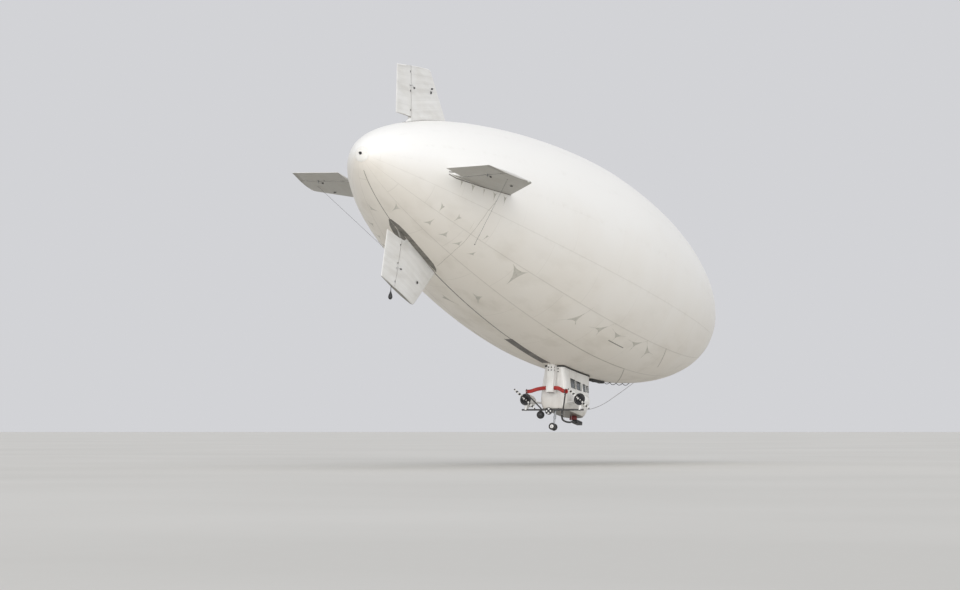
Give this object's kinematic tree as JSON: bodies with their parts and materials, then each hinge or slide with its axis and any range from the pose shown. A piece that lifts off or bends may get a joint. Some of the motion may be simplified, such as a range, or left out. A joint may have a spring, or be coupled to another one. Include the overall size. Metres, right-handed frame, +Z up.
{
  "type": "airship",
  "caption": "Small non-rigid airship with tail fins, a cabin slung under the hull and pusher propellers, held by its nose.",
  "frame": {"origin": "middle of the mooring spindle's flat end, where a mast holds the nose", "axes": "+Y ahead and level, +Z up, +X to starboard; the ship rides 9.35 degrees nose down about X, as it is moored"},
  "size_m": [10.4924, 38.9037, 15.8158],
  "materials": {
    "cabin_white": "satin white paint, a little grimed",
    "dark_red": "dark red, worn",
    "engine_grey": "dull dark metal",
    "envelope_fabric": "matt coated fabric, white above and grimed below",
    "fin_fabric": "matt coated fabric over a frame, undersides greyed by dirt",
    "glazing": "clear, tinted dark",
    "grey_rubber": "dull dark grey",
    "propeller_paint": "black with white bars, satin",
    "red_hose": "ribbed red duct cloth over wire",
    "seat_cloth": "dark blue-grey cloth",
    "steel": "dull grey tube",
    "trim_black": "matt black",
    "tyre": "dull black"
  },
  "bodies": {
    "airframe": {"air_plenum": "cabin_white", "belly_valve": "trim_black", "blower_box": "trim_black", "blower_drum": "dark_red", "blower_hose": "trim_black", "cabin_ceiling": "cabin_white", "cabin_collar": "trim_black", "cabin_tub": "cabin_white", "camera_ball": "trim_black", "copilot_seat": "seat_cloth", "door_hinge": "steel", "engine_beam": "steel", "envelope": "envelope_fabric", "gear_leg": "steel", "instrument_panel": "trim_black", "keel_strip": "grey_rubber", "lower_fin": "fin_fabric", "mooring_spindle": "steel", "nose_battens": "cabin_white", "pilot_seat": "seat_cloth", "port_aft_glazing": "glazing", "port_air_hose": "red_hose", "port_cowl": "cabin_white", "port_engine": "engine_grey", "port_fin": "fin_fabric", "port_fore_glazing": "glazing", "port_outrigger": "cabin_white", "port_scoop_strut": "steel", "port_upper_shell": "cabin_white", "rear_bench": "seat_cloth", "rear_blower": "trim_black", "starboard_air_hose": "red_hose", "starboard_cowl": "cabin_white", "starboard_engine": "engine_grey", "starboard_fin": "fin_fabric", "starboard_glazing": "glazing", "starboard_outrigger": "cabin_white", "starboard_scoop_strut": "steel", "starboard_upper_shell": "cabin_white", "tail_cap": "grey_rubber", "upper_fin": "fin_fabric", "windscreen": "glazing"},
    "door": {"door_glazing": "glazing", "port_door": "cabin_white"},
    "gear_fork": {"gear_fork": "steel"},
    "lower_rudder": {"lower_rudder": "fin_fabric", "tail_weight": "trim_black"},
    "port_elevator": {"port_elevator": "fin_fabric"},
    "port_propeller": {"port_propeller": "propeller_paint"},
    "wheels": {"port_wheel": "tyre", "starboard_wheel": "tyre"},
    "starboard_elevator": {"starboard_elevator": "fin_fabric"},
    "starboard_propeller": {"starboard_propeller": "propeller_paint"},
    "upper_rudder": {"upper_rudder": "fin_fabric"}
  },
  "joints": [
    {"name": "upper_rudder_hinge", "type": "hinge", "parent": "airframe", "child": "upper_rudder", "pos_m": [0, -34.07291, 9.47796], "axis": [0, -0.0006, 1], "range_deg": [-25, 25]},
    {"name": "starboard_elevator_hinge", "type": "hinge", "parent": "airframe", "child": "starboard_elevator", "pos_m": [3.817, -34.69297, 5.71166], "axis": [0.9866, -0.1609, 0.0265], "range_deg": [-25, 25]},
    {"name": "lower_rudder_hinge", "type": "hinge", "parent": "airframe", "child": "lower_rudder", "pos_m": [0, -35.31304, 1.94536], "axis": [0, -0.3212, -0.947], "range_deg": [-25, 25]},
    {"name": "port_elevator_hinge", "type": "hinge", "parent": "airframe", "child": "port_elevator", "pos_m": [-3.817, -34.69297, 5.71166], "axis": [-0.9866, -0.1609, 0.0265], "range_deg": [-25, 25]},
    {"name": "port_propeller_spin", "type": "hinge", "parent": "airframe", "child": "port_propeller", "pos_m": [-1.4, -18.44163, -3.67299], "axis": [0, 0.9867, -0.1624], "continuous": true},
    {"name": "starboard_propeller_spin", "type": "hinge", "parent": "airframe", "child": "starboard_propeller", "pos_m": [1.4, -18.44163, -3.67299], "axis": [0, 0.9867, -0.1624], "continuous": true},
    {"name": "door_hinge", "type": "hinge", "parent": "airframe", "child": "door", "pos_m": [-0.70572, -16.24719, -3.68969], "axis": [0.0639, 0.1621, 0.9847], "range_deg": [-85, 0]},
    {"name": "gear_swivel", "type": "hinge", "parent": "airframe", "child": "gear_fork", "pos_m": [0, -18.05175, -4.62902], "axis": [0, 0.1624, 0.9867], "continuous": true},
    {"name": "wheels_spin", "type": "hinge", "parent": "gear_fork", "child": "wheels", "pos_m": [-0.06, -18.11348, -5.00397], "axis": [0, 0.9867, -0.1624], "continuous": true}
  ]
}
